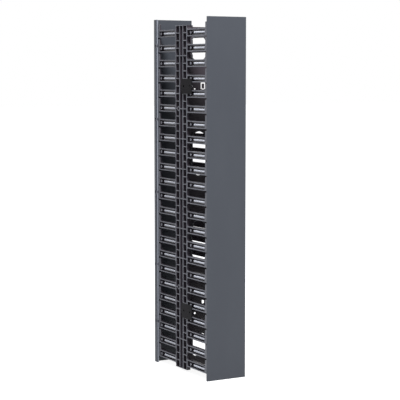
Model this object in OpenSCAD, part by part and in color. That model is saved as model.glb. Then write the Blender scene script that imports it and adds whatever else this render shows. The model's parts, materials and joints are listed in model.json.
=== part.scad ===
// Two-sided vertical cable manager for an equipment rack.
// A folded steel backplane carries moulded finger combs on both sides, and a hinged sheet
// cover closes the cable channel at the front and at the rear. The assembly repeats itself
// when it is turned half a turn about Z, so each sided piece is drawn once and turned.
// X is to the right seen from the front, Y points to the rear, Z is up.

/* [Rack] */
// Height of one rack unit, which is the pitch of the fingers
rack_unit = 44.45; // [43.5:0.05:46]
// Fingers on each end module of a comb
end_fingers = 4; // [3:1:5]
// Fingers on each of the three middle modules of a comb
mid_fingers = 5; // [4:1:6]

/* [Overall] */
// Width over the covers
width = 130; // [124:1:180]
// Depth over both cover faces
depth = 326; // [310:1:420]
// Height of the cover above the top finger module
top_overhang = 21.25; // [18:0.25:40]
// Height of the finger combs above the bottom edge of the covers
foot_clearance = 8.4; // [4:0.1:30]

/* [Covers] */
// Sheet thickness of the covers
cover_t = 1.5; // [1:0.1:2]
// Outside radius of the folds of the covers
fold_r = 2.5; // [2.2:0.1:3.2]
// Depth of the short folded edge on the latch side
latch_lip = 4.5; // [3.5:0.1:6]
// Distance from the outer cover face to the hinge axis
hinge_depth = 13.5; // [13:0.1:16]
// Outside radius of the rolled hinge barrel
barrel_r = 4; // [3.8:0.1:4.4]
// Diameter of the hinge rod
rod_d = 4.9; // [3:0.1:4.9]
// Radial clearance of the rod in the rolled barrel
rod_play = 0.05; // [0.03:0.01:0.1]
// Height of each plastic hinge knuckle
knuckle_h = 8; // [6:1:16]
// End gap between a knuckle and the rolled barrel
knuckle_gap = 0.4; // [0.3:0.1:1]

/* [Finger combs] */
// Distance from the side of the cover to the outer face of the comb
comb_inset = 5; // [4.5:0.5:8]
// Thickness of the comb moulding
comb_t = 12; // [10:0.5:16]
// Thickness of the web at the inner face of the comb
web_t = 2.5; // [2:0.1:4]
// Width of the spine that joins the fingers
spine_w = 68; // [66:1:80]
// Height of a finger
finger_h = 21.5; // [19:0.5:23]
// Width of the raised rim round the pockets
rim_w = 3; // [2.4:0.1:3.6]
// Radius of the pocket corners at the root of a finger
pocket_r = 6; // [3:0.5:8]
// Height of the half-round rib along the middle of a finger
rib_h = 6.5; // [5:0.1:7]
// Length of the rib on the fingers of the latch side, from the head inwards
latch_rib_l = 64; // [40:1:76]
// Length of the rib on the fingers of the hinge side, from the root outwards
hinge_rib_l = 70; // [40:1:74]
// Radius of the round boss beside each rib
boss_r = 4; // [3:0.1:4.5]
// Distance of the boss from the end of its rib
boss_step = 18.5; // [12:0.5:20]
// Width of the tee-shaped head at the tip of a finger
head_w = 11; // [9:0.5:13]
// Height of the head above the middle of its finger
head_rise = 29; // [26:0.5:30]
// Corner radius of the head
head_r = 2.5; // [1:0.1:4]
// Thickness of the plain heads, seen from the side of the rack
head_t = 4.5; // [4:0.1:8]
// Gap between the cover face and the heads on the latch side
latch_gap = 10; // [9:0.5:11]
// Gap between the cover face and the heads on the hinge side
hinge_gap = 19; // [18.5:0.5:22]
// Width of the groove down the middle of the spine
groove_w = 15; // [13:0.5:17]
// Width of the bands beside the groove
band_w = 4.5; // [3.5:0.5:6]
// Height of the small bars between the windows and across the groove
bar_h = 2.6; // [2:0.1:4]
// Radius of the screw boss that stands in the spine
screw_boss_r = 7; // [6:0.1:7.5]

/* [Latches] */
// Thickness of the latch blade on a head
blade_t = 3; // [2:0.1:4]
// Reach of the latch blade beyond its head
blade_l = 5.5; // [4:0.1:5.8]
// Width of the latch blade
blade_w = 9; // [6:0.5:10]
// Side clearance between the blade and the prongs of its clip
latch_play = 0.3; // [0.2:0.05:0.5]
// Thickness of each clip prong
prong_t = 1.5; // [1.2:0.1:2]
// Gap between the ends of the prongs and the head behind the blade
prong_gap = 0.8; // [0.5:0.1:2]
// Thickness of the clip base
clip_t = 1.6; // [1.2:0.1:2]
// Width of the clip
clip_w = 12; // [10:0.5:13]
// Height of the clip
clip_h = 20; // [18:0.5:24]

/* [Backplane] */
// Distance of each end of the backplane from the end of the combs
plate_inset = 4; // [2:0.5:10]
// Sheet thickness of the backplane
plate_t = 1.5; // [1:0.1:2.5]
// Outside radius of the folds of the backplane
plate_fold_r = 3; // [2.6:0.1:4]
// Depth of the side flanges of the backplane
flange_l = 31; // [28:0.5:33]
// Width of the cable pass-throughs
pass_w = 50; // [30:1:56]
// Height of the tall pass-throughs
tall_pass_h = 134; // [80:1:170]
// Height of the short pass-throughs
short_pass_h = 70; // [40:1:76]
// Corner radius of the short pass-throughs
short_pass_r = 15; // [10:0.5:18]
// Width of the edge trim over the sheet
trim_w = 3; // [2:0.1:4]
// Thickness of each wall of the edge trim
trim_wall = 1.6; // [1:0.1:2]

/* [Accessory places] */
// Diameter of the accessory holes in the backplane
accessory_hole_d = 6; // [4:0.1:7]
// Drop of the upper accessory holes below the middle of the upper brackets
upper_accessory_drop = 9.5; // [8:0.5:14]
// Drop of the lower accessory holes below the middle of the lower brackets
lower_accessory_drop = 14.5; // [8:0.5:15]
// Half the spacing of the accessory holes
accessory_half_step = 14; // [13:0.5:17]
// Width of the lanced tongue above one accessory hole
tongue_w = 8.4; // [8:0.1:10]
// Height of the tongue above the middle of its hole
tongue_h = 16.7; // [12:0.1:17]
// Width of the slot round the tongue
tongue_slot = 3.4; // [2:0.1:4]
// Width of the upright strap slot above the tongue
strap_slot_w = 8; // [4:0.5:9]
// Height of the strap slot
strap_slot_h = 12.5; // [10:0.5:13]
// Height of the middle of the strap slot above the middle of the brackets
strap_slot_rise = 19; // [18:0.5:22]

/* [Rack brackets] */
// Sheet thickness of the rack brackets
bracket_t = 2; // [1.5:0.1:2.5]
// Outside radius of the fold of a bracket
bracket_fold_r = 3.5; // [3:0.5:6]
// Corner radius of the bracket plate
bracket_r = 4; // [1:0.5:8]
// Height of the bracket plate
bracket_h = 44; // [34:1:52]
// Height of the leg that runs in to the backplane
leg_h = 20; // [16:0.5:20.4]
// Reach of the bracket plate to the front of the middle
bracket_l = 65; // [60:1:90]
// Diameter of the rack bolt holes
rack_hole_d = 7; // [5:0.1:9]
// Spacing of the two rack bolt holes of a bracket
rack_hole_step = 36; // [28:1:40]
// Distance of the first rack bolt hole from the middle of the depth
rack_hole_inset = 18; // [12:1:22]
// Distance of the first leg bolt from the side of the backplane
leg_bolt_inset = 8; // [7:0.5:10]
// Spacing of the two leg bolts
leg_bolt_step = 11; // [10:0.5:14]
// Clearance of the comb behind the bracket leg
notch_gap = 3; // [1:0.5:6]

/* [Screws] */
// Shank diameter of the comb screws and bracket bolts
screw_d = 5; // [3:0.1:6]
// Head diameter of the comb screws and bracket bolts
screw_head_d = 9; // [8:0.1:9.5]
// Head height of the comb screws and bracket bolts
screw_head_h = 3; // [2:0.1:4]
// Height of the nuts
nut_h = 4; // [3:0.1:5]

/* [Hidden] */
$fn = 32;
eps = 0.01;
// Length of the cutters that go through the backplane
cut_l = 10 * plate_t;
finger_count = 2 * end_fingers + 3 * mid_fingers;
comb_h = finger_count * rack_unit;
height = foot_clearance + comb_h + top_overhang;
// Module boundaries as the numbers of the first and the last finger, counted from the top
m1 = [1, end_fingers];
m2 = [m1[1] + 1, m1[1] + mid_fingers];
m3 = [m2[1] + 1, m2[1] + mid_fingers];
m4 = [m3[1] + 1, m3[1] + mid_fingers];
m5 = [m4[1] + 1, m4[1] + end_fingers];
modules = [m1, m2, m3, m4, m5];
pocket_h = rack_unit - finger_h;
// Planes of the left comb
comb_x = -width / 2 + comb_inset;
web_x = comb_x + comb_t;
latch_tip = -depth / 2 + latch_gap;
hinge_tip = depth / 2 - hinge_gap;
root_y = spine_w / 2;
// Hinge axis of the rear cover; the front one lies half a turn away
hinge_x = -width / 2 + barrel_r;
hinge_y = depth / 2 - hinge_depth;
knuckle_z = (head_rise - finger_h / 2) / 2;
// Heights of the latches above the middle of their fingers
latch_z = head_rise / 2;
// Half-pitch windows run between the bands and the rims
window_y = groove_w / 2 + band_w;
window_h = rack_unit / 2 - bar_h;
// Rack brackets stand in the pockets between the end modules and the middle ones
upper_bracket_z = finger_z(m1[1]) - rack_unit / 2;
lower_bracket_z = finger_z(m4[1]) - rack_unit / 2;
bracket_x = comb_x - bracket_t;
leg_y = -plate_t / 2 - bracket_t;
leg_bolt_x = [web_x + leg_bolt_inset, web_x + leg_bolt_inset + leg_bolt_step];
leg_end_x = leg_bolt_x[1] + screw_head_d / 2;
notch_y = leg_y + bracket_t + notch_gap;
// Screws of the combs: a pair in the windows of each module, and one in a boss on two of them
window_screw_y = (window_y + root_y - rim_w) / 2;
boss_screw_y = window_y + screw_boss_r - 1.5;
boss_fingers = [m2[0] + 1, m4[1] - 1];
// Heads that carry hinge knuckles and latch blades
knuckle_fingers = [for (m = modules) m[0] + floor((m[1] - m[0]) / 2)];
latch_fingers = [knuckle_fingers[0], knuckle_fingers[2], knuckle_fingers[4]];
// Pass-throughs: [height of the middle, height, corner radius]
passes = [
    [finger_z(2), short_pass_h, short_pass_r],
    [finger_z(m2[1]), tall_pass_h, pass_w / 2],
    [finger_z(m4[0]), tall_pass_h, pass_w / 2],
    [finger_z(finger_count - 1), short_pass_h, short_pass_r]
];
plate_bottom = foot_clearance + plate_inset;
plate_top = foot_clearance + comb_h - plate_inset;
prong_l = latch_gap - cover_t - clip_t - prong_gap;
stud_head_r = 2;
stud_head_h = 1.2;

// Height of the middle of finger k, counted from the top
function finger_z(k) = foot_clearance + (finger_count - k + 0.5) * rack_unit;

// Crossing bars of the groove that lie in the module
function crossings(m) = concat(
    m[0] == 1 ? [finger_z(2) - rack_unit / 2] : [],
    m[1] == finger_count ? [finger_z(finger_count - 1) + rack_unit / 2] : [],
    m[0] == 1 || m[1] == finger_count ? [] : [for (k = [m[0] : m[1]]) if (k % 2 == 0) finger_z(k)]
);

module rounded_rect(w, h, r) {
    square([w - 2 * r, h], center = true);
    square([w, h - 2 * r], center = true);
    for (sx = [-1, 1], sy = [-1, 1])
        translate([sx * (w / 2 - r), sy * (h / 2 - r)]) circle(r);
}

// Concave fillet in the corner at the origin; its legs run along sx and sy
module corner_fillet(r, sx, sy) {
    difference() {
        translate([sx < 0 ? -r : 0, sy < 0 ? -r : 0]) square(r);
        translate([sx * r, sy * r]) circle(r);
    }
}

// Section of a fold: the quarter ring towards -X and -Y round the origin
module fold_arc(r, t) {
    difference() {
        circle(r);
        circle(r - t);
        translate([0, -r - 1]) square([r + 1, 2 * r + 2]);
        translate([-r - 1, 0]) square([2 * r + 2, r + 1]);
    }
}

// Lays a profile drawn in Y and Z along X, from x0 over a length l
module along_x(x0, l) {
    translate([x0, 0, 0]) rotate([90, 0, 90]) linear_extrude(l) children();
}

// Cylinder along Y that starts at the given point
module rod_y(x, y, z, r, l) {
    translate([x, y, z]) rotate([-90, 0, 0]) cylinder(r = r, h = l);
}

// Cylinder along X that starts at the given point
module rod_x(x, y, z, r, l) {
    translate([x, y, z]) rotate([0, 90, 0]) cylinder(r = r, h = l);
}

// ---- Finger combs -------------------------------------------------------

// Tee-shaped head; the flat tip faces away from the spine
module head_profile(tip, inward) {
    low = -finger_h / 2;
    translate([tip + inward * head_w / 2, (low + head_rise) / 2])
        rounded_rect(head_w, head_rise - low, head_r);
}

module finger_profile() {
    translate([latch_tip + head_r, -finger_h / 2])
        square([hinge_tip - latch_tip - 2 * head_r, finger_h]);
    head_profile(latch_tip, 1);
    head_profile(hinge_tip, -1);
    for (s = [-1, 1], v = [-1, 1])
        translate([s * root_y, v * finger_h / 2]) corner_fillet(pocket_r, s, v);
    translate([latch_tip + head_w, finger_h / 2]) corner_fillet(head_r, 1, 1);
    translate([hinge_tip - head_w, finger_h / 2]) corner_fillet(head_r, -1, 1);
}

module comb_profile(m) {
    low = finger_z(m[1]) - rack_unit / 2;
    high = finger_z(m[0]) + rack_unit / 2;
    translate([-root_y, low]) square([spine_w, high - low]);
    for (k = [m[0] : m[1]]) translate([0, finger_z(k)]) finger_profile();
}

// Hollow of one finger, with its rib and boss left standing
module finger_hollow() {
    h = finger_h - 2 * rim_w;
    latch_start = latch_tip + head_w + rim_w;
    latch_end = -root_y - rim_w;
    hinge_start = root_y + rim_w;
    hinge_end = hinge_tip - head_w + rim_w;
    difference() {
        translate([latch_start, -h / 2]) square([latch_end - latch_start, h]);
        translate([latch_start - 1, -rib_h / 2]) square([latch_rib_l + 1, rib_h]);
        translate([latch_start + latch_rib_l + boss_step, 0]) circle(boss_r);
    }
    difference() {
        translate([hinge_start, -h / 2]) square([hinge_end - hinge_start, h]);
        translate([hinge_start - 1, -rib_h / 2]) square([hinge_rib_l + 1, rib_h]);
        translate([hinge_start + hinge_rib_l + boss_step, 0]) circle(boss_r);
    }
}

// Hollows of the spine: half-pitch windows in two columns and the groove between them
module spine_hollow(m) {
    low = finger_z(m[1]) - rack_unit / 2;
    high = finger_z(m[0]) + rack_unit / 2;
    window_w = root_y - rim_w - window_y;
    low_wall = m[1] == finger_count ? bar_h / 2 : -1;
    high_wall = m[0] == 1 ? bar_h / 2 : -1;
    for (k = [m[0] : m[1]], v = [-1, 1], s = [-1, 1])
        translate([s * (window_y + window_w / 2), finger_z(k) + v * rack_unit / 4])
            square([window_w, window_h], center = true);
    difference() {
        translate([-groove_w / 2, low + low_wall])
            square([groove_w, high - low - low_wall - high_wall]);
        for (z = crossings(m))
            translate([0, z]) square([groove_w + 1, bar_h], center = true);
    }
}

// Pocket of a rack bracket cut into the end of a module
module bracket_notch(z) {
    translate([comb_x - 1, -root_y - pocket_r, z - pocket_h / 2])
        cube([comb_t + 2, root_y + pocket_r + notch_y, pocket_h]);
}

// Space behind a plain head, from the fillet at its foot upwards
module head_relief(y, k) {
    foot = finger_h / 2 + head_r;
    translate([comb_x + head_t, y - 1, finger_z(k) + foot])
        cube([comb_t, head_w + 2, head_rise - foot + 1]);
}

// One module of the left comb, with the hinge knuckle and latch blade of its middle finger
module comb_module(i) {
    m = modules[i];
    hub = knuckle_fingers[i];
    r = rib_h / 2;
    latch_start = latch_tip + head_w + rim_w;
    hinge_start = root_y + rim_w;
    hub_boss = [for (k = boss_fingers) if (k >= m[0] && k <= m[1]) k];
    difference() {
        union() {
            difference() {
                along_x(comb_x, comb_t) comb_profile(m);
                along_x(comb_x - 1, comb_t - web_t + 1) difference() {
                    union() {
                        for (k = [m[0] : m[1]]) translate([0, finger_z(k)]) finger_hollow();
                        spine_hollow(m);
                    }
                    for (k = hub_boss)
                        translate([boss_screw_y, finger_z(k)]) circle(screw_boss_r);
                }
                // Plain heads are thinner than the fingers that carry them
                for (k = [m[0] : m[1]]) {
                    if (len(search(k, latch_fingers)) == 0) head_relief(latch_tip, k);
                    head_relief(hinge_tip - head_w, k);
                }
                // The ribs are cut down, to be closed again by round beads
                for (k = [m[0] : m[1]]) {
                    translate([comb_x - 1, latch_start, finger_z(k) - r - eps])
                        cube([r + 1, latch_rib_l, rib_h + 2 * eps]);
                    translate([comb_x - 1, hinge_start, finger_z(k) - r - eps])
                        cube([r + 1, hinge_rib_l, rib_h + 2 * eps]);
                }
            }
            for (k = [m[0] : m[1]]) {
                rod_y(comb_x + r, latch_start - eps, finger_z(k), r, latch_rib_l + eps);
                rod_y(comb_x + r, hinge_start - eps, finger_z(k), r, hinge_rib_l + eps);
            }
            knuckle(finger_z(hub) + knuckle_z);
            for (k = latch_fingers) if (k >= m[0] && k <= m[1]) latch_blade(finger_z(k) + latch_z);
        }
        for (z = [upper_bracket_z, lower_bracket_z]) bracket_notch(z);
        translate([hinge_x, hinge_y, finger_z(hub) + knuckle_z - knuckle_h])
            cylinder(d = rod_d, h = 2 * knuckle_h);
        for (z = window_screw_heights(m))
            rod_x(comb_x - 1, window_screw_y, z, screw_d / 2, comb_t + 2);
        for (k = hub_boss) {
            rod_x(comb_x - 1, boss_screw_y, finger_z(k), screw_d / 2, comb_t + 2);
            rod_x(comb_x - 1, boss_screw_y, finger_z(k), screw_head_d / 2, comb_t - web_t + 1);
        }
    }
}

// Hinge knuckle that grows out of a head towards the rear cover
module knuckle(z) {
    translate([hinge_x, hinge_y, z - knuckle_h / 2]) cylinder(r = barrel_r, h = knuckle_h);
    translate([comb_x, hinge_tip - 1, z - knuckle_h / 2])
        cube([barrel_r + hinge_x - comb_x, hinge_y - hinge_tip + 1, knuckle_h]);
}

// Flat blade with a round nose that the clip of the front cover slides over
module latch_blade(z) {
    r = blade_t / 2;
    x0 = comb_x + (comb_t - blade_w) / 2;
    translate([x0, latch_tip - blade_l + r, z - r]) cube([blade_w, blade_l - r + 1, blade_t]);
    rod_x(x0, latch_tip - blade_l + r, z, r, blade_w);
}

// ---- Screws -------------------------------------------------------------

function window_screw_heights(m) = [
    finger_z(m[0]) - rack_unit / 4,
    finger_z(m[1]) + rack_unit / 4
];

// Screw along X that clamps the comb web to the flange, with its nut inside
module comb_screw(y, z) {
    seat = web_x - web_t;
    through = web_t + plate_t;
    rod_x(seat - screw_head_h, y, z, screw_head_d / 2, screw_head_h);
    rod_x(seat - eps, y, z, screw_d / 2, through + nut_h + 1);
    translate([web_x + plate_t, y, z]) rotate([0, 90, 0])
        cylinder(d = screw_head_d, h = nut_h, $fn = 6);
}

module comb_screws() {
    color([0.55, 0.55, 0.57]) {
        for (m = modules, z = window_screw_heights(m)) comb_screw(window_screw_y, z);
        for (k = boss_fingers) comb_screw(boss_screw_y, finger_z(k));
    }
}

// Bolts that hold the two left brackets to the front face of the backplane
module bracket_bolts() {
    color([0.6, 0.6, 0.62]) for (z = [upper_bracket_z, lower_bracket_z], x = leg_bolt_x) {
        rod_y(x, leg_y - screw_head_h, z, screw_head_d / 2, screw_head_h);
        rod_y(x, leg_y - eps, z, screw_d / 2, bracket_t + plate_t + nut_h + 1);
        translate([x, plate_t / 2, z]) rotate([-90, 0, 0])
            cylinder(d = screw_head_d, h = nut_h, $fn = 6);
    }
}

// ---- Backplane ----------------------------------------------------------

// Section of the backplane: a flange to the rear on the left, one to the front on the right
module backplane_section() {
    half = -web_x;
    square([2 * (half - plate_fold_r), plate_t], center = true);
    for (turn = [0, 180]) rotate(turn) {
        translate([-half + plate_fold_r, plate_fold_r - plate_t / 2])
            fold_arc(plate_fold_r, plate_t);
        translate([-half, plate_fold_r - plate_t / 2])
            square([plate_t, flange_l - plate_fold_r + plate_t / 2]);
    }
}

module backplane() {
    half = -web_x;
    color([0.13, 0.13, 0.14]) difference() {
        translate([0, 0, plate_bottom]) linear_extrude(plate_top - plate_bottom)
            backplane_section();
        for (p = passes)
            translate([0, cut_l / 2, p[0]]) rotate([90, 0, 0]) linear_extrude(cut_l)
                rounded_rect(pass_w, p[1], p[2] - eps);
        for (turn = [0, 180]) rotate([0, 0, turn]) {
            for (z = [upper_bracket_z, lower_bracket_z], x = leg_bolt_x)
                rod_y(x, -cut_l / 2, z, screw_d / 2, cut_l);
            for (m = modules, z = window_screw_heights(m))
                rod_x(-half - 1, window_screw_y, z, screw_d / 2, plate_t + 2);
            for (k = boss_fingers)
                rod_x(-half - 1, boss_screw_y, finger_z(k), screw_d / 2, plate_t + 2);
        }
        accessory_place(upper_bracket_z, upper_accessory_drop);
        accessory_place(lower_bracket_z, lower_accessory_drop);
    }
}

// Accessory place: two round holes, a tongue over one of them and a strap slot above it
module accessory_place(z, drop) {
    low = z - drop;
    h = tongue_h + tongue_slot;
    r = accessory_hole_d / 2;
    for (x = [-accessory_half_step, accessory_half_step]) rod_y(x, -cut_l / 2, low, r, cut_l);
    translate([accessory_half_step, cut_l / 2, 0]) rotate([90, 0, 0]) linear_extrude(cut_l) {
        difference() {
            translate([0, low + h / 2]) rounded_rect(tongue_w + 2 * tongue_slot, h, tongue_slot / 2);
            translate([0, low + h / 2 - tongue_slot]) square([tongue_w, h], center = true);
        }
        translate([0, z + strap_slot_rise])
            rounded_rect(strap_slot_w, strap_slot_h, strap_slot_w / 2 - eps);
    }
}

// U-section moulding pushed over the edge of a pass-through
module edge_trim(p) {
    full = plate_t + 2 * trim_wall;
    color([0.5, 0.5, 0.52]) translate([0, 0, p[0]]) rotate([90, 0, 0]) difference() {
        translate([0, 0, -full / 2]) linear_extrude(full)
            rounded_rect(pass_w + 2 * trim_w, p[1] + 2 * trim_w, p[2] + trim_w - eps);
        translate([0, 0, -full]) linear_extrude(2 * full)
            rounded_rect(pass_w - 2 * trim_wall, p[1] - 2 * trim_wall, p[2] - trim_wall - eps);
        translate([0, 0, -plate_t / 2]) linear_extrude(plate_t) difference() {
            square([pass_w + 4 * trim_w, p[1] + 4 * trim_w], center = true);
            rounded_rect(pass_w, p[1], p[2] - eps);
        }
    }
}

// ---- Rack brackets ------------------------------------------------------

// Angle bracket of the left side: a plate over the comb and a leg in to the backplane
module bracket(z) {
    plate_end = bracket_fold_r - leg_y - bracket_t;
    color([0.16, 0.16, 0.17]) difference() {
        union() {
            along_x(bracket_x, bracket_t) translate([-(bracket_l + plate_end) / 2, z])
                rounded_rect(bracket_l - plate_end, bracket_h, bracket_r);
            translate([0, 0, z - leg_h / 2]) linear_extrude(leg_h) {
                translate([bracket_x, -plate_end - bracket_r])
                    square([bracket_t, bracket_r]);
                translate([bracket_x + bracket_fold_r, -plate_end])
                    mirror([0, 1]) fold_arc(bracket_fold_r, bracket_t);
                translate([bracket_x + bracket_fold_r, leg_y])
                    square([leg_end_x - bracket_x - bracket_fold_r, bracket_t]);
            }
        }
        for (i = [0, 1])
            rod_x(bracket_x - 1, -rack_hole_inset - i * rack_hole_step, z, rack_hole_d / 2,
                bracket_t + 2);
        for (x = leg_bolt_x) rod_y(x, leg_y - 1, z, screw_d / 2, 5);
    }
}

// ---- Covers -------------------------------------------------------------

// Section of the rear cover: face, short latch lip, long hinge flange and rolled barrel
module cover_section() {
    face_y = depth / 2;
    side = width / 2;
    translate([-side + fold_r, face_y - cover_t]) square([width - 2 * fold_r, cover_t]);
    for (s = [0, 1]) mirror([s, 0]) translate([-side + fold_r, face_y - fold_r])
        mirror([0, 1]) fold_arc(fold_r, cover_t);
    translate([side - cover_t, face_y - latch_lip]) square([cover_t, latch_lip - fold_r]);
    translate([-side, hinge_y]) square([cover_t, hinge_depth - fold_r]);
    translate([hinge_x, hinge_y]) circle(barrel_r);
}

module rear_cover_sheet() {
    slot_h = knuckle_h + 2 * knuckle_gap;
    color([0.38, 0.4, 0.42]) difference() {
        linear_extrude(height) cover_section();
        translate([hinge_x, hinge_y, -1])
            cylinder(r = rod_d / 2 + rod_play, h = height + 2);
        for (k = knuckle_fingers)
            translate([hinge_x - barrel_r - 1, hinge_y - barrel_r - 1,
                finger_z(k) + knuckle_z - slot_h / 2])
                cube([2 * barrel_r + 2, 2 * barrel_r + 4, slot_h]);
    }
}

module hinge_rod() {
    color([0.6, 0.6, 0.62]) translate([hinge_x, hinge_y, 1])
        cylinder(d = rod_d, h = height - 2);
}

// Forked clips inside the front cover, one at each latch blade of the left comb
module cover_clips() {
    inner_y = -depth / 2 + cover_t;
    x0 = comb_x + (comb_t - clip_w) / 2;
    mouth = blade_t / 2 + latch_play;
    color([0.15, 0.15, 0.16]) for (k = latch_fingers) translate([0, 0, finger_z(k) + latch_z])
        difference() {
            union() {
                translate([x0, inner_y, -clip_h / 2]) cube([clip_w, clip_t, clip_h]);
                for (s = [-1, 1])
                    translate([x0, inner_y, s * (mouth + prong_t / 2) - prong_t / 2])
                        cube([clip_w, clip_t + prong_l, prong_t]);
            }
            for (s = [-1, 1]) translate([x0 + clip_w / 2, inner_y - 1, clip_stud_z(s)])
                rotate([-90, 0, 0]) cylinder(r = stud_head_r / 2, h = clip_t + 2);
        }
}

// Height of a stud in its clip, halfway between the prong and the end of the base
function clip_stud_z(s) = s * (blade_t / 2 + latch_play + prong_t + clip_h / 2) / 2;

// Weld studs with round caps that hold the clips to the front cover
module clip_studs() {
    inner_y = -depth / 2 + cover_t;
    x0 = comb_x + comb_t / 2;
    color([0.6, 0.6, 0.62]) for (k = latch_fingers, s = [-1, 1])
        translate([x0, inner_y, finger_z(k) + latch_z + clip_stud_z(s)]) rotate([-90, 0, 0]) {
            cylinder(r = stud_head_r / 2, h = clip_t + stud_head_h);
            translate([0, 0, clip_t]) cylinder(r = stud_head_r, h = stud_head_h);
        }
}

module half_turn() {
    rotate([0, 0, 180]) children();
}

module black_comb(i) {
    color([0.1, 0.1, 0.11]) comb_module(i);
}

backplane();
edge_trim(passes[0]);  // upper_edge_trim
edge_trim(passes[1]);  // upper_middle_edge_trim
edge_trim(passes[2]);  // lower_middle_edge_trim
edge_trim(passes[3]);  // lower_edge_trim
black_comb(0);  // left_comb_top
black_comb(1);  // left_comb_upper
black_comb(2);  // left_comb_middle
black_comb(3);  // left_comb_lower
black_comb(4);  // left_comb_bottom
half_turn() black_comb(0);  // right_comb_top
half_turn() black_comb(1);  // right_comb_upper
half_turn() black_comb(2);  // right_comb_middle
half_turn() black_comb(3);  // right_comb_lower
half_turn() black_comb(4);  // right_comb_bottom
comb_screws();  // left_comb_screws
half_turn() comb_screws();  // right_comb_screws
bracket(upper_bracket_z);  // upper_left_bracket
bracket(lower_bracket_z);  // lower_left_bracket
half_turn() bracket(upper_bracket_z);  // upper_right_bracket
half_turn() bracket(lower_bracket_z);  // lower_right_bracket
bracket_bolts();  // left_bracket_bolts
half_turn() bracket_bolts();  // right_bracket_bolts
half_turn() rear_cover_sheet();  // front_cover
rear_cover_sheet();  // rear_cover
half_turn() hinge_rod();  // front_hinge_rod
hinge_rod();  // rear_hinge_rod
cover_clips();  // front_cover_clips
half_turn() cover_clips();  // rear_cover_clips
clip_studs();  // front_clip_studs
half_turn() clip_studs();  // rear_clip_studs
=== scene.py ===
# %% [markdown]
# # A two-sided vertical cable manager
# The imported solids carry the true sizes. This lesson dresses them: it rounds the moulded edges,
# gives every part its finish, adds the small fasteners' drive recesses, and lights the result.

import json
import math

import bpy
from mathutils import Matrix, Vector

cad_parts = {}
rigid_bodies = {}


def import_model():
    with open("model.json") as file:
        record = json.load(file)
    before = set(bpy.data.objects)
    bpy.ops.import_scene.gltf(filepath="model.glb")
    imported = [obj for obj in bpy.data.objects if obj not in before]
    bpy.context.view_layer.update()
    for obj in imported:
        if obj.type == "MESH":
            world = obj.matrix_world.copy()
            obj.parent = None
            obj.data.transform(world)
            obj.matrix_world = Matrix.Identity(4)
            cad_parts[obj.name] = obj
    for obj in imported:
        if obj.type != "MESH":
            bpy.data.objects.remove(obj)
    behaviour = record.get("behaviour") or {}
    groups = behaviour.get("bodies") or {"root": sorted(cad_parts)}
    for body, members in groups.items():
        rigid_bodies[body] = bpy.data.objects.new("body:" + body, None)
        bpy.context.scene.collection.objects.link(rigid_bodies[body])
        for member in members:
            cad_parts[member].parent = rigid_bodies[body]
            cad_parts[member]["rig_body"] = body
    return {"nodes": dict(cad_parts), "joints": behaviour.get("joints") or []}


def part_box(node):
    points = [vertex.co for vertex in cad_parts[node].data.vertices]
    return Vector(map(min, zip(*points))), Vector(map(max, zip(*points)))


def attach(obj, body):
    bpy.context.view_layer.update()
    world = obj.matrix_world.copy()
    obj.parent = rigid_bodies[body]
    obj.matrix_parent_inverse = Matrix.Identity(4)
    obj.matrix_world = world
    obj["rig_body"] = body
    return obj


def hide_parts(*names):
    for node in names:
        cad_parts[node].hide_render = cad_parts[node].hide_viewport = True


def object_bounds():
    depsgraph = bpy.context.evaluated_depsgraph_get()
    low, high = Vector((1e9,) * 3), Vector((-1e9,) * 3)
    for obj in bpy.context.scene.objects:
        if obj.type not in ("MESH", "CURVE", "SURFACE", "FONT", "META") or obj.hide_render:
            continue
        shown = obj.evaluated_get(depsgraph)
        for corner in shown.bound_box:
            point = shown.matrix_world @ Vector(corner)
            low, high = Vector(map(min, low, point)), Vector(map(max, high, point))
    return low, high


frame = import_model()
CAD_LOW, CAD_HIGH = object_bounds()
NODES = frame["nodes"]
MM = 0.001
print("solids:", len(NODES), "box:", [round(v, 4) for v in CAD_HIGH - CAD_LOW])

# %% [markdown]
# ## Camera
# A manager a metre tall is seen from its front left, a little above its middle, with a long lens
# so that its edges stay nearly parallel. The camera is placed by an azimuth, an elevation and a
# distance from a point inside the part, and it is turned to look at that point. A Track To
# constraint could aim it as well, but a turn worked out once needs nothing else in the scene.

# %% Camera
VIEW_AZIMUTH = math.radians(-29.68)
VIEW_ELEVATION = math.radians(5.3)
VIEW_DISTANCE = 4.075
VIEW_TARGET = Vector((0.0041, 0.0, 0.5129))
LENS = 122.5
SENSOR_WIDTH = 36.0
CLIP_END = 50.0


def place_camera():
    """Adds the camera on its sphere round the target and makes it the scene's camera."""
    flat = math.cos(VIEW_ELEVATION)
    back = Vector((
        math.sin(VIEW_AZIMUTH) * flat,
        -math.cos(VIEW_AZIMUTH) * flat,
        math.sin(VIEW_ELEVATION),
    ))
    bpy.ops.object.camera_add(location=VIEW_TARGET + back * VIEW_DISTANCE)
    camera = bpy.context.object
    camera.rotation_mode = "QUATERNION"
    camera.rotation_quaternion = (-back).to_track_quat("-Z", "Y")
    camera.data.lens = LENS
    camera.data.sensor_width = SENSOR_WIDTH
    camera.data.clip_end = CLIP_END
    bpy.context.scene.camera = camera
    return camera


camera = place_camera()
print("camera at", [round(v, 3) for v in camera.location])

# %% [markdown]
# ## Softboxes
# Black plastic shows its shape almost only by what it reflects. Point lamps would leave small hard
# dots on it, so all three lights are area lights, a little cooler than white. A wide softbox is
# set high behind the part, where the round ribs of the combs mirror it towards the camera. A
# smaller key softbox above the front left models the covers, and a weak low one lifts their
# bottom ends.

# %% Softboxes
SKY_TINT = (0.95, 0.97, 1.0)
LAMP_TINT = (0.97, 0.98, 1.0)


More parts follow.
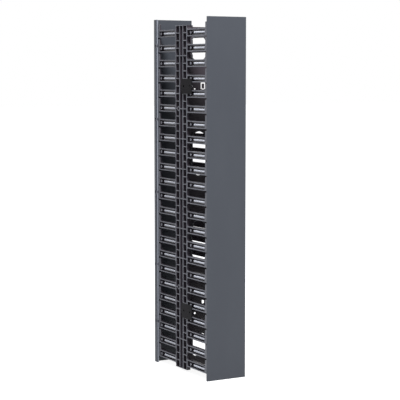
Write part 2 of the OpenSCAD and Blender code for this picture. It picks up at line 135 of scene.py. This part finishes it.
def add_softbox(name, place, look_at, size, watts, tint):
    """Adds a rectangular area light that faces the point look_at."""
    bpy.ops.object.light_add(type="AREA", location=place)
    light = bpy.context.object
    light.name = name
    light.data.shape = "RECTANGLE"
    light.data.size, light.data.size_y = size
    light.data.energy = watts
    light.data.color = tint
    aim = Vector(look_at) - Vector(place)
    light.rotation_mode = "QUATERNION"
    light.rotation_quaternion = aim.to_track_quat("-Z", "Y")


add_softbox(
    "rear_softbox", place=(-1.1, 6.0, 3.45), look_at=(0, 0, 0.6), size=(4.6, 2.2), watts=114,
    tint=SKY_TINT,
)
add_softbox(
    "key_softbox", place=(-0.7, -1.75, 3.3), look_at=(0, 0, 0.85), size=(0.9, 0.9), watts=122,
    tint=LAMP_TINT,
)
add_softbox(
    "low_softbox", place=(-0.4, -3.6, 0.3), look_at=(0, 0, 0.1), size=(1.6, 0.5), watts=5,
    tint=LAMP_TINT,
)

# %% [markdown]
# ## World
# The world fills every shadow evenly, as the pale walls of a studio do. A background that is lit
# until it looks white would also wash out the part, so the two jobs are kept apart. Rays that are
# seen, mirrored or let through meet plain white where they run past the part, which also gives the
# plated fasteners something bright to show, and all other rays meet the fill. The view transform
# is the plain one, so a colour comes out about as it is written.


# %% Rays that meet white
def white_rays(tree):
    """A mask that is 1 for rays that should meet plain white: seen, mirrored or let through."""
    path = tree.nodes.new("ShaderNodeLightPath")
    total = path.outputs["Is Camera Ray"]
    for kind in ("Is Glossy Ray", "Is Transmission Ray"):
        either = tree.nodes.new("ShaderNodeMath")
        either.operation = "MAXIMUM"
        tree.links.new(total, either.inputs[0])
        tree.links.new(path.outputs[kind], either.inputs[1])
        total = either.outputs[0]
    return total


# %% World
FILL_COLOUR = (0.9, 0.93, 1.0, 1.0)
FILL_STRENGTH = 0.55
WHITE = (1.0, 1.0, 1.0, 1.0)


def make_world():
    """A pale even fill for the part, and plain white where a ray runs past it."""
    world = bpy.data.worlds.new("studio")
    bpy.context.scene.world = world
    world.use_nodes = True
    tree = world.node_tree
    tree.nodes.clear()
    out = tree.nodes.new("ShaderNodeOutputWorld")
    fill = tree.nodes.new("ShaderNodeBackground")
    fill.inputs["Color"].default_value = FILL_COLOUR
    fill.inputs["Strength"].default_value = FILL_STRENGTH
    white = tree.nodes.new("ShaderNodeBackground")
    white.inputs["Color"].default_value = WHITE
    white.inputs["Strength"].default_value = 1.0
    mix = tree.nodes.new("ShaderNodeMixShader")
    tree.links.new(white_rays(tree), mix.inputs["Fac"])
    tree.links.new(fill.outputs["Background"], mix.inputs[1])
    tree.links.new(white.outputs["Background"], mix.inputs[2])
    tree.links.new(mix.outputs["Shader"], out.inputs["Surface"])


make_world()
bpy.context.scene.view_settings.view_transform = "Standard"
print("world:", bpy.context.scene.world.name, "fill", FILL_STRENGTH)

# %% [markdown]
# ## Floor
# The floor is a wide plain sheet under the covers' bottom edges, and a single large plane is all
# it takes. A white sheet alone looks grey unless it gets more light than the part should have. So
# to the camera it glows almost white and its plain diffuse shading is added on top, and the part's
# soft shadow still shows on it.

# %% Floor
FLOOR_SIZE = 60.0
PAPER_GREY = (0.45, 0.45, 0.45, 1.0)
GLOW_STRENGTH = 0.9


def make_floor():
    """A wide white floor that keeps a soft shadow, marked as stage."""
    bpy.ops.mesh.primitive_plane_add(size=FLOOR_SIZE, location=(0, 0, CAD_LOW.z))
    floor = bpy.context.object
    floor.name = "floor"
    mat = bpy.data.materials.new("white_floor")
    mat.use_nodes = True
    tree = mat.node_tree
    tree.nodes.clear()
    out = tree.nodes.new("ShaderNodeOutputMaterial")
    paper = tree.nodes.new("ShaderNodeBsdfDiffuse")
    paper.inputs["Color"].default_value = PAPER_GREY
    glow = tree.nodes.new("ShaderNodeEmission")
    glow.inputs["Color"].default_value = WHITE
    glow.inputs["Strength"].default_value = GLOW_STRENGTH
    both = tree.nodes.new("ShaderNodeAddShader")
    mix = tree.nodes.new("ShaderNodeMixShader")
    tree.links.new(paper.outputs["BSDF"], both.inputs[0])
    tree.links.new(glow.outputs["Emission"], both.inputs[1])
    tree.links.new(white_rays(tree), mix.inputs["Fac"])
    tree.links.new(paper.outputs["BSDF"], mix.inputs[1])
    tree.links.new(both.outputs["Shader"], mix.inputs[2])
    tree.links.new(mix.outputs["Shader"], out.inputs["Surface"])
    floor.data.materials.append(mat)


make_floor()
print("floor at", round(CAD_LOW.z, 4))

# %% [markdown]
# ## Shared surface effects
# Three effects come back in every finish: a fine grain, wear in patches and wear on edges. They
# could be wired up in each material, but then a change would have to be made many times, so each
# is a node group that is built once. All of them read object coordinates, so they stay on the part
# from every side.


# %% Group helper
def new_group(name, inputs, outputs):
    """An empty shader group with float inputs (name, value) and float outputs."""
    group = bpy.data.node_groups.new(name, "ShaderNodeTree")
    for label, value in inputs:
        socket = group.interface.new_socket(label, in_out="INPUT", socket_type="NodeSocketFloat")
        socket.default_value = value
    for label in outputs:
        group.interface.new_socket(label, in_out="OUTPUT", socket_type="NodeSocketFloat")
    start = group.nodes.new("NodeGroupInput")
    end = group.nodes.new("NodeGroupOutput")
    return group, start, end


def noise_on_object(group, scale_socket, detail, stretch=(1.0, 1.0, 1.0)):
    """A noise texture in object coordinates, drawn out along the axes as stretch says."""
    place = group.nodes.new("ShaderNodeTexCoord")
    drawn = group.nodes.new("ShaderNodeMapping")
    drawn.inputs["Scale"].default_value = stretch
    noise = group.nodes.new("ShaderNodeTexNoise")
    noise.inputs["Detail"].default_value = detail
    group.links.new(place.outputs["Object"], drawn.inputs["Vector"])
    group.links.new(drawn.outputs["Vector"], noise.inputs["Vector"])
    group.links.new(scale_socket, noise.inputs["Scale"])
    return noise.outputs["Fac"]


# %% [markdown]
# ## Moulded grain
# A moulded or coated face is never quite smooth, and its grain is what breaks up the gloss. Grains
# smaller than a millimetre are too fine to model on a part a metre tall, so a noise texture stands
# for them. It moves the roughness a little and gives a height for bump.

# %% Grain group
GRAIN_DETAIL = 3.0
NOISE_MIDDLE = 0.5


def make_grain_group():
    """Fine grain: puts out a height from 0 to 1 and a roughness near the given middle."""
    group, start, end = new_group(
        "moulded_grain",
        [("Scale", 900.0), ("Roughness", 0.4), ("Spread", 0.1)],
        ["Height", "Roughness"],
    )
    fine = noise_on_object(group, start.outputs["Scale"], GRAIN_DETAIL)
    centre = group.nodes.new("ShaderNodeMath")
    centre.operation = "SUBTRACT"
    centre.inputs[1].default_value = NOISE_MIDDLE
    spread = group.nodes.new("ShaderNodeMath")
    spread.operation = "MULTIPLY_ADD"
    group.links.new(fine, centre.inputs[0])
    group.links.new(centre.outputs[0], spread.inputs[0])
    group.links.new(start.outputs["Spread"], spread.inputs[1])
    group.links.new(start.outputs["Roughness"], spread.inputs[2])
    group.links.new(fine, end.inputs["Height"])
    group.links.new(spread.outputs[0], end.inputs["Roughness"])
    return group


GRAIN = make_grain_group()
print("group:", GRAIN.name)

# %% [markdown]
# ## Handling wear
# Hands and cables lighten a surface in broad soft patches. A mask painted by hand would fit one
# piece only, so this one is a noise that is drawn out along Z, as most of the handling runs up and
# down the manager. A window on its values leaves clean areas between the patches.

# %% Wear group
WEAR_DETAIL = 4.0
WEAR_STRETCH = (1.0, 1.0, 0.35)
WEAR_FROM, WEAR_TO = 0.42, 0.72


def window(group, socket, low, high):
    """Spreads the values from low to high over the range from 0 to 1."""
    ramp = group.nodes.new("ShaderNodeMapRange")
    ramp.inputs["From Min"].default_value = low
    ramp.inputs["From Max"].default_value = high
    group.links.new(socket, ramp.inputs["Value"])
    return ramp.outputs["Result"]


def product(group, first, second):
    """The product of two values."""
    times = group.nodes.new("ShaderNodeMath")
    times.operation = "MULTIPLY"
    group.links.new(first, times.inputs[0])
    group.links.new(second, times.inputs[1])
    return times.outputs[0]


def make_wear_group():
    """Soft wear: a mask from 0 to 1 in broad patches, drawn out along Z."""
    group, start, end = new_group(
        "handling_wear", [("Scale", 14.0), ("Amount", 0.5)], ["Mask"]
    )
    patches = noise_on_object(group, start.outputs["Scale"], WEAR_DETAIL, WEAR_STRETCH)
    mask = product(group, window(group, patches, WEAR_FROM, WEAR_TO), start.outputs["Amount"])
    group.links.new(mask, end.inputs["Mask"])
    return group


WEAR = make_wear_group()
print("group:", WEAR.name)

# %% [markdown]
# ## Edge rub and painted highlight
# Paint and plastic wear first on their edges, and a rounded edge catches a thin line of light, so
# the edge colour stands partly for rub and partly for a painted highlight. The geometry's
# pointiness could find the edges, but it changes with the fineness of the mesh, so the mask uses
# an attribute that the rounding step below writes on every rounded edge. Noise then breaks the
# mask up, because a real edge never wears evenly.

# %% Edge group
EDGE_DETAIL = 2.0
EDGE_FROM, EDGE_TO = 0.3, 0.6


def make_edge_rub_and_highlight_group():
    """Edge rub and painted highlight: a mask that is up to Amount on rounded edges and 0 on flat
    faces.
    """
    group, start, end = new_group("edge_rub", [("Scale", 120.0), ("Amount", 0.5)], ["Mask"])
    rounded = group.nodes.new("ShaderNodeAttribute")
    rounded.attribute_name = "edge"
    noise = noise_on_object(group, start.outputs["Scale"], EDGE_DETAIL)
    broken = window(group, noise, EDGE_FROM, EDGE_TO)
    mask = product(group, product(group, rounded.outputs["Fac"], broken), start.outputs["Amount"])
    group.links.new(mask, end.inputs["Mask"])
    return group


EDGE_RUB_AND_HIGHLIGHT = make_edge_rub_and_highlight_group()
print("group:", EDGE_RUB_AND_HIGHLIGHT.name)

# %% [markdown]
# ## Finishes
# Each finish is one Principled material. Every one could be built by itself, but a helper sets up
# what all of them share: a base colour that the wear mask shifts towards a second colour, an edge
# colour where the edge mask says so, and grain that drives roughness and bump. The finishes then
# differ only in a few values, which makes them easy to compare.


# %% Finish helper
def place_group(tree, group, **values):
    """Puts a group into a material with its own values."""
    node = tree.nodes.new("ShaderNodeGroup")
    node.node_tree = group
    for label, value in values.items():
        node.inputs[label].default_value = value
    return node


def tinted(tree, under, colour, mask):
    """The colour under, a tuple or a socket, shifted towards a second colour by a mask."""
    mix = tree.nodes.new("ShaderNodeMix")
    mix.data_type = "RGBA"
    if isinstance(under, tuple):
        mix.inputs["A"].default_value = (*under, 1.0)
    else:
        tree.links.new(under, mix.inputs["A"])
    mix.inputs["B"].default_value = (*colour, 1.0)
    tree.links.new(mask, mix.inputs["Factor"])
    return mix.outputs["Result"]


def finish(name, colour, worn, edge, wear, rub, rough, spread, grain, bump_mm,
           metallic=0.0, specular=0.5):
    """A Principled material whose colour, roughness and bump follow the shared groups.

    wear is (scale, amount) of the patches in the worn colour, and rub is (scale, amount) of the
    edge colour on rounded edges, which is partly rub and partly a painted highlight. grain is the
    scale of the fine noise, which moves the roughness by spread about rough and gives a bump of
    bump_mm.
    """
    mat = bpy.data.materials.new(name)
    mat.use_nodes = True
    tree = mat.node_tree
    shader = tree.nodes["Principled BSDF"]
    shader.inputs["Metallic"].default_value = metallic
    shader.inputs["Specular IOR Level"].default_value = specular
    patches = place_group(tree, WEAR, Scale=wear[0], Amount=wear[1])
    edges = place_group(tree, EDGE_RUB_AND_HIGHLIGHT, Scale=rub[0], Amount=rub[1])
    fine = place_group(tree, GRAIN, Scale=grain, Roughness=rough, Spread=spread)
    faces = tinted(tree, colour, worn, patches.outputs["Mask"])
    tree.links.new(tinted(tree, faces, edge, edges.outputs["Mask"]), shader.inputs["Base Color"])
    tree.links.new(fine.outputs["Roughness"], shader.inputs["Roughness"])
    bump = tree.nodes.new("ShaderNodeBump")
    bump.inputs["Strength"].default_value = 1.0
    bump.inputs["Distance"].default_value = bump_mm * MM
    tree.links.new(fine.outputs["Height"], bump.inputs["Height"])
    tree.links.new(bump.outputs["Normal"], shader.inputs["Normal"])
    return mat


# %% [markdown]
# ## Powder coat
# The covers are sheet steel under a cool dark grey powder coat with a satin gloss. On the hinge
# barrel, where the sheet is rolled, the same coat has two copies with painted light: a lighter
# one, a painted highlight, on the side that turns in to the combs, and a darker one, painted
# shade, on the side that turns away. A mask could blend the three, but three plain finishes keep
# the values of each in sight.

# %% Cover finishes
POWDER_COAT = finish(
    "powder_coat", colour=(0.068, 0.074, 0.087), worn=(0.08, 0.087, 0.1), edge=(0.16, 0.17, 0.185),
    wear=(9.0, 0.5), rub=(60.0, 0.6), rough=0.3, spread=0.08, grain=1100.0, bump_mm=0.01,
    specular=0.25,
)
BARREL_PAINTED_HIGHLIGHT_COAT = finish(
    "rolled_coat", colour=(0.235, 0.25, 0.285), worn=(0.29, 0.305, 0.345), edge=(0.3, 0.31, 0.33),
    wear=(9.0, 0.5), rub=(60.0, 0.6), rough=0.26, spread=0.06, grain=1100.0, bump_mm=0.006,
    specular=0.4,
)
BARREL_PAINTED_SHADE_COAT = finish(
    "dull_coat", colour=(0.045, 0.048, 0.06), worn=(0.055, 0.058, 0.07), edge=(0.12, 0.125, 0.14),
    wear=(9.0, 0.5), rub=(60.0, 0.4), rough=0.5, spread=0.08, grain=1100.0, bump_mm=0.01,
    specular=0.03,
)
print("cover finishes:", POWDER_COAT.name, BARREL_PAINTED_HIGHLIGHT_COAT.name, BARREL_PAINTED_SHADE_COAT.name)

# %% [markdown]
# ## Comb plastics
# The combs are moulded in satin black plastic, which is never quite black, so its base colour is
# a very dark grey. The half-round ribs are polished, so that cables slide, and the raised rims are
# duller. Both are the same black plastic, but they get lighter grey copies of it, a painted
# highlight for the light that their round and raised faces catch. The front ribs and rims get
# still lighter copies, a painted highlight for the brighter light on the front fingers.

# %% Comb finishes
BLACK_PLASTIC = finish(
    "satin_black_plastic", colour=(0.043, 0.036, 0.044), worn=(0.058, 0.051, 0.06),
    edge=(0.1, 0.1, 0.11), wear=(22.0, 0.6), rub=(150.0, 0.8), rough=0.3, spread=0.08,
    grain=1500.0, bump_mm=0.004, specular=0.4,
)
RIB_PLASTIC_PAINTED_HIGHLIGHT = finish(
    "polished_plastic", colour=(0.232, 0.241, 0.283), worn=(0.292, 0.303, 0.347),
    edge=(0.24, 0.24, 0.26), wear=(22.0, 0.5), rub=(150.0, 0.6), rough=0.3, spread=0.06,
    grain=1500.0, bump_mm=0.002, specular=1.0,
)
FRONT_RIB_PAINTED_HIGHLIGHT = finish(
    "rubbed_plastic", colour=(0.38, 0.395, 0.455), worn=(0.44, 0.455, 0.515),
    edge=(0.4, 0.415, 0.47), wear=(22.0, 0.5), rub=(150.0, 0.6), rough=0.28, spread=0.06,
    grain=1500.0, bump_mm=0.002, specular=1.0,
)
RIM_PLASTIC_PAINTED_HIGHLIGHT = finish(
    "rim_plastic", colour=(0.075, 0.077, 0.094), worn=(0.107, 0.109, 0.131),
    edge=(0.19, 0.19, 0.205), wear=(40.0, 0.6), rub=(150.0, 0.7), rough=0.34, spread=0.06,
    grain=1500.0, bump_mm=0.002, specular=0.3,
)
FRONT_RIM_PAINTED_HIGHLIGHT = finish(
    "rubbed_rim", colour=(0.112, 0.115, 0.137), worn=(0.15, 0.153, 0.18), edge=(0.2, 0.203, 0.225),
    wear=(40.0, 0.6), rub=(150.0, 0.7), rough=0.34, spread=0.06, grain=1500.0, bump_mm=0.002,
    specular=0.3,
)
print(
    "comb finishes:", BLACK_PLASTIC.name, RIB_PLASTIC_PAINTED_HIGHLIGHT.name, FRONT_RIB_PAINTED_HIGHLIGHT.name,
    RIM_PLASTIC_PAINTED_HIGHLIGHT.name, FRONT_RIM_PAINTED_HIGHLIGHT.name,
)

# %% [markdown]
# ## Paint on sheet steel
# The backplane and the rack brackets are punched sheet steel painted black. The backplane keeps
# the sheen of its paint. The brackets carry the same paint with less gloss, and their copy of it
# is darker, a painted shade for the shade that lies on them. The paint hides the metal completely,
# so neither finish is metallic.

# %% Sheet steel finishes
BRACKET_BLACK_PAINTED_SHADE = finish(
    "painted_black_steel", colour=(0.009, 0.008, 0.0095), worn=(0.015, 0.0145, 0.0165),
    edge=(0.05, 0.05, 0.052), wear=(18.0, 0.5), rub=(90.0, 0.7), rough=0.32, spread=0.1,
    grain=1200.0, bump_mm=0.006, specular=0.03,
)
SHEET_PAINT = finish(
    "black_sheet_paint", colour=(0.068, 0.057, 0.068), worn=(0.084, 0.074, 0.085),
    edge=(0.08, 0.08, 0.083), wear=(18.0, 0.5), rub=(90.0, 0.7), rough=0.36, spread=0.1,
    grain=1200.0, bump_mm=0.006, specular=0.3,
)
print("sheet steel finishes:", BRACKET_BLACK_PAINTED_SHADE.name, SHEET_PAINT.name)

# %% [markdown]
# ## Plated steel and soft plastic
# The bracket bolts, the hinge rods and the clips' studs are plated steel. Bare plating is a metal,
# so it is fully metallic and its base colour is the tint of what it mirrors. The comb screws have
# a thin dark coat that lets part of the metal through. The trims on the edges of the pass-throughs
# are a soft grey plastic with little gloss.

# %% Fastener and trim finishes
PLATED_STEEL = finish(
    "plated_steel", colour=(0.55, 0.55, 0.57), worn=(0.4, 0.4, 0.41), edge=(0.65, 0.65, 0.67),
    wear=(60.0, 0.7), rub=(200.0, 0.6), rough=0.32, spread=0.12, grain=2500.0, bump_mm=0.003,
    metallic=1.0,
)
DARK_FASTENER = finish(
    "dark_fastener", colour=(0.05, 0.05, 0.052), worn=(0.12, 0.12, 0.125), edge=(0.2, 0.2, 0.205),
    wear=(80.0, 0.5), rub=(200.0, 0.6), rough=0.35, spread=0.12, grain=2500.0, bump_mm=0.003,
    metallic=0.6,
)
TRIM_PLASTIC = finish(
    "soft_grey_plastic", colour=(0.09, 0.09, 0.1), worn=(0.13, 0.13, 0.14),
    edge=(0.16, 0.16, 0.17), wear=(30.0, 0.5), rub=(150.0, 0.6), rough=0.42, spread=0.14,
    grain=1500.0, bump_mm=0.006,
)
print("finishes:", [m.name for m in bpy.data.materials])

# %% [markdown]
# ## Rounded edges
# A moulding has no sharp edges, and neither has a punched sheet once it is painted. The small
# radius catches the light, and that thin light line is what shows a black part against a black
# interior. A bevel node in the shader could draw that line too, but the mesh itself would stay
# sharp. So each exact but sharp solid is copied, its loose triangles are merged, flat ones are
# dissolved into whole faces, and a bevel modifier rounds every corner before it is applied.

# %% Copy and clean
MERGE_WITHIN = 0.03 * MM
FLAT_WITHIN = math.radians(0.6)


def only(obj):
    """Makes obj the only selected and active object."""
    bpy.ops.object.select_all(action="DESELECT")
    obj.select_set(True)
    bpy.context.view_layer.objects.active = obj


def clean_copy(node, ending):
    """A copy of a solid whose triangles are merged into whole faces."""
    source = NODES[node]
    copy = source.copy()
    copy.data = source.data.copy()
    copy.name = node + ending
    copy.data.name = copy.name
    for key in [k for k in copy.keys() if k.startswith("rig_")]:
        del copy[key]
    copy.parent = None
    bpy.context.scene.collection.objects.link(copy)
    only(copy)
    bpy.ops.object.mode_set(mode="EDIT")
    bpy.ops.mesh.select_all(action="SELECT")
    bpy.ops.mesh.customdata_custom_splitnormals_clear()
    bpy.ops.mesh.remove_doubles(threshold=MERGE_WITHIN)
    bpy.ops.mesh.dissolve_limited(angle_limit=FLAT_WITHIN)
    bpy.ops.object.mode_set(mode="OBJECT")
    return copy


# %% [markdown]
# ## Marks on the rounded edges
# The edge rub and painted highlight have to know which faces the bevel made. They could be found
# again by their narrow shape, but the bevel can put its new faces in a material slot of their own,
# which leaves no doubt. The edge attribute is written from that slot, and the slot is then taken
# away again. The rounded copy stands for the solid that it came from and rides on the same body.

# %% Mark the edges
BEVEL_SLOT = 1


def mark_edges(data):
    """Writes 1 on the faces that the bevel made and 0 on the rest, as the attribute edge."""
    values = []
    for face in data.polygons:
        values.extend([1.0 if face.material_index == BEVEL_SLOT else 0.0] * face.loop_total)
    mark = data.attributes.new("edge", "FLOAT", "CORNER")
    mark.data.foreach_set("value", values)


# %% Round the edges
SHARP_CORNER = math.radians(35.0)
SMOOTH_BELOW = math.radians(60.0)
BEVEL_SEGMENTS = 2


def round_edges(piece, material, radius_mm):
    """Rounds the sharp edges of a piece, marks them and gives the piece one material."""
    data = piece.data
    data.materials.clear()
    data.materials.append(material)
    data.materials.append(material)
    data.polygons.foreach_set("material_index", [0] * len(data.polygons))
    only(piece)
    bevel = piece.modifiers.new("edge_radius", "BEVEL")
    bevel.width = radius_mm * MM
    bevel.segments = BEVEL_SEGMENTS
    bevel.limit_method = "ANGLE"
    bevel.angle_limit = SHARP_CORNER
    bevel.use_clamp_overlap = False
    bevel.loop_slide = False
    bevel.material = BEVEL_SLOT
    bpy.ops.object.modifier_apply(modifier=bevel.name)
    mark_edges(data)
    data.polygons.foreach_set("material_index", [0] * len(data.polygons))
    data.materials.pop(index=BEVEL_SLOT)
    bpy.ops.object.shade_smooth_by_angle(angle=SMOOTH_BELOW)
    weigh = piece.modifiers.new("flat_faces_stay_flat", "WEIGHTED_NORMAL")
    weigh.keep_sharp = True
    bpy.ops.object.modifier_apply(modifier=weigh.name)
    return piece


# %% Stand in for the solid
def stand_in(piece, node):
    """Lets a finished piece ride its solid's body and stand for it."""
    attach(piece, NODES[node]["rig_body"])
    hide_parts(node)


# %% [markdown]
# ## Finger combs
# A comb module is one moulding, with front and rear fingers on one spine. Each finger is hollowed
# inside a raised rim and has half-round ribs along its middle. The ribs could be cut off as pieces
# of their own, but that would leave a seam that a moulding has not, so the comb stays whole and
# single faces get their finish by their place. All the corners of a rib's face lie within half a
# rib's height of a finger's middle and outside the web. The rims are the faces beyond a plane just
# under the fingers' outer side.

# %% Comb sizes
RACK_UNIT = 44.45 * MM
RIB_HALF = 3.3 * MM
RIB_FOOT = 51.2 * MM
RIM_PLANE = 59.2 * MM
RIB_REACH = (37.0 * MM, 142.0 * MM)
SPINE_HALF = 34.0 * MM
COMB_RADIUS_MM = 0.35
COMBS = [n for n in NODES if "_comb_" in n and not n.endswith("screws")]
LOWEST_COMB = min(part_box(n)[0].z for n in COMBS)
print("combs:", len(COMBS), "lowest at", round(LOWEST_COMB, 4))


# %% Find the ribs
def finger_offset(z):
    """Distance of a height from the middle of the nearest finger."""
    steps = (z - LOWEST_COMB) / RACK_UNIT - 0.5
    return abs(steps - round(steps)) * RACK_UNIT


def on_rib(point, side):
    """Whether a corner lies on a rib of the comb on that side."""
    return (
        RIB_REACH[0] < abs(point.y) < RIB_REACH[1]
        and point.x * side > RIB_FOOT
        and finger_offset(point.z) < RIB_HALF
    )


# %% Dress the combs
def add_material(piece, material):
    """Gives a piece one more material and returns the index that its faces use for it."""
    piece.data.materials.append(material)
    return len(piece.data.materials) - 1


def dress_comb(node):
    """Rounds a comb and gives its ribs and rims lighter copies of the plastic, as painted
    highlight.
    """
    comb = round_edges(clean_copy(node, "_moulded"), BLACK_PLASTIC, COMB_RADIUS_MM)
    data = comb.data
    rear_rib = add_material(comb, RIB_PLASTIC_PAINTED_HIGHLIGHT)
    front_rib = add_material(comb, FRONT_RIB_PAINTED_HIGHLIGHT)
    rim = add_material(comb, RIM_PLASTIC_PAINTED_HIGHLIGHT)
    front_rim = add_material(comb, FRONT_RIM_PAINTED_HIGHLIGHT)
    side = -1.0 if node.startswith("left") else 1.0
    ribs = rims = 0
    for face in data.polygons:
        corners = [data.vertices[i].co for i in face.vertices]
        if all(on_rib(c, side) for c in corners):
            # rib faces get a lighter copy of the plastic, a painted highlight, lighter still at
            # the front
            face.material_index = rear_rib if face.center.y > 0 else front_rib
            ribs += 1
        elif all(c.x * side > RIM_PLANE for c in corners):
            # rim faces get a lighter copy too, a painted highlight, lighter still at the front
            face.material_index = front_rim if face.center.y < -SPINE_HALF else rim
            rims += 1
    stand_in(comb, node)
    return comb, ribs, rims


for name in COMBS:
    made, ribs, rims = dress_comb(name)
    print(name, "faces", len(made.data.polygons), "ribs", ribs, "rims", rims)

# %% [markdown]
# ## Covers
# A cover is one sheet with powder coat all over, folded along its edges and rolled into a barrel
# round its hinge rod. Like a comb it stays whole: the faces close to the hinge axis get the
# painted-highlight or the painted-shade copy of the coat by the way they look. The axis could be
# typed in, but it comes from the frame's joints, so it can't be wrong. The same direction points
# in to the combs on both covers once it is turned half a turn for the front one.

# %% Dress the covers
COVER_RADIUS_MM = 0.35
BARREL_REACH = 4.3 * MM
BARREL_INWARD = Vector((0.87, -0.49, 0.0))
BARREL_TURN_IN = -0.15


def dress_cover(node):
    """Rounds the sheet's cut edges and gives its barrel a painted highlight and a painted shade.
    """
    cover = round_edges(clean_copy(node, "_coated"), POWDER_COAT, COVER_RADIUS_MM)
    highlight_side = add_material(cover, BARREL_PAINTED_HIGHLIGHT_COAT)
    shade_side = add_material(cover, BARREL_PAINTED_SHADE_COAT)
    joint = next(j for j in frame["joints"] if j["name"] == node + "_hinge")
    axis = Vector(joint["pos_m"][:2])
    inward = BARREL_INWARD if axis.y > 0 else -BARREL_INWARD
    barrel = 0
    for face in cover.data.polygons:
        corners = [cover.data.vertices[i].co.xy for i in face.vertices]
        if all((c - axis).length < BARREL_REACH for c in corners):
            # faces that turn in to the combs get the painted highlight, the others the painted
            # shade
            face.material_index = highlight_side if face.normal.dot(inward) > BARREL_TURN_IN else shade_side
            barrel += 1
    stand_in(cover, node)
    return cover, barrel


for name in ("front_cover", "rear_cover"):
    made, barrel = dress_cover(name)
    print(name, "faces", len(made.data.polygons), "on the barrel", barrel)

# %% [markdown]
# ## Sheet steel, edge trims and clips
# The backplane and the rack brackets are punched sheets, the trims are pushed over the edges of
# the pass-throughs, and the clips inside the covers are small mouldings of the same black plastic
# as the combs. They differ only in their finish and in the radius of their edges, so one loop
# dresses them all.

# %% Dress the sheets and small mouldings
SHEET_RADIUS_MM = 0.35
TRIM_RADIUS_MM = 0.4
CLIP_RADIUS_MM = 0.3
BRACKETS = [n for n in NODES if n.endswith("_bracket")]
TRIMS = [n for n in NODES if n.endswith("_edge_trim")]
CLIPS = [n for n in NODES if n.endswith("_cover_clips")]
for group_nodes, ending, material, radius_mm, slot_name in (
    (["backplane"], "_painted", SHEET_PAINT, SHEET_RADIUS_MM, "black_steel"),
    # the brackets take the darker copy of the black paint, a painted shade
    (BRACKETS, "_painted", BRACKET_BLACK_PAINTED_SHADE, SHEET_RADIUS_MM, "black_steel"),
    (TRIMS, "_fitted", TRIM_PLASTIC, TRIM_RADIUS_MM, "trim_plastic"),
    (CLIPS, "_moulded", BLACK_PLASTIC, CLIP_RADIUS_MM, "black_plastic"),
):
    for name in group_nodes:
        made = round_edges(clean_copy(name, ending), material, radius_mm)
        stand_in(made, name)
        print(name, "faces", len(made.data.polygons))

# %% [markdown]
# ## Fasteners
# The comb screws and bracket bolts are driven by a hexagon socket, which the solids leave out. It
# could be an inset face pushed in, but the round heads have no hexagon to inset. So a short
# six-sided prism is set into the middle of each head and cut away with a boolean modifier. The
# heads are found as the large flat faces that look outwards. Then the edges are rounded as on the
# other pieces, which also gives each socket its small lead-in.

# %% Cut the sockets
SOCKET_RADIUS = 2.4 * MM
SOCKET_DEPTH = 1.8 * MM
SOCKET_SIDES = 6
HEAD_AREA = 55.0 * MM * MM
LOOKS_OUT = 0.99


def head_places(piece, outward):
    """The middles of the head faces that look outwards."""
    return [
        face.center.copy()
        for face in piece.data.polygons
        if face.normal.dot(outward) > LOOKS_OUT and face.area > HEAD_AREA
    ]


def cut_sockets(piece, outward):
    """Cuts a hexagon socket into every head of a set of screws."""
    places = head_places(piece, outward)
    turn = outward.to_track_quat("Z", "Y").to_euler()
    cutters = []
    for place in places:
        bpy.ops.object.select_all(action="DESELECT")
        bpy.ops.mesh.primitive_cylinder_add(
            vertices=SOCKET_SIDES, radius=SOCKET_RADIUS, depth=2.0 * SOCKET_DEPTH,
            location=place, rotation=turn,
        )
        cutters.append(bpy.context.object)
    for cutter in cutters:
        cutter.select_set(True)
    bpy.ops.object.join()
    tool = bpy.context.object
    only(piece)
    cut = piece.modifiers.new("socket", "BOOLEAN")
    cut.operation = "DIFFERENCE"
    cut.solver = "EXACT"
    cut.object = tool
    bpy.ops.object.modifier_apply(modifier=cut.name)
    bpy.data.objects.remove(tool, do_unlink=True)
    return len(places)


# %% Dress the screws and bolts
SCREW_RADIUS_MM = 0.35
LEFT, RIGHT = Vector((-1, 0, 0)), Vector((1, 0, 0))
FRONT, REAR = Vector((0, -1, 0)), Vector((0, 1, 0))
for name, outward, material in (
    ("left_comb_screws", LEFT, DARK_FASTENER),
    ("right_comb_screws", RIGHT, DARK_FASTENER),
    ("left_bracket_bolts", FRONT, PLATED_STEEL),
    ("right_bracket_bolts", REAR, PLATED_STEEL),
):
    screws = clean_copy(name, "_turned")
    sockets = cut_sockets(screws, outward)
    round_edges(screws, material, SCREW_RADIUS_MM)
    stand_in(screws, name)
    print(name, "sockets", sockets, "faces", len(screws.data.polygons))

# %% [markdown]
# ## Hinge rods and studs
# A hinge rod is a plain steel rod through the cover's barrel, and the studs are welded inside the
# covers to hold the clips with their round caps. All of them could be made by spinning a profile,
# but the solids already have that shape, so only their edges are rounded.

# %% Dress the rods and studs
PIN_RADIUS_MM = 0.3
for name in [n for n in NODES if n.endswith(("_hinge_rod", "_clip_studs"))]:
    made = round_edges(clean_copy(name, "_turned"), PLATED_STEEL, PIN_RADIUS_MM)
    stand_in(made, name)
    print(name, "faces", len(made.data.polygons))
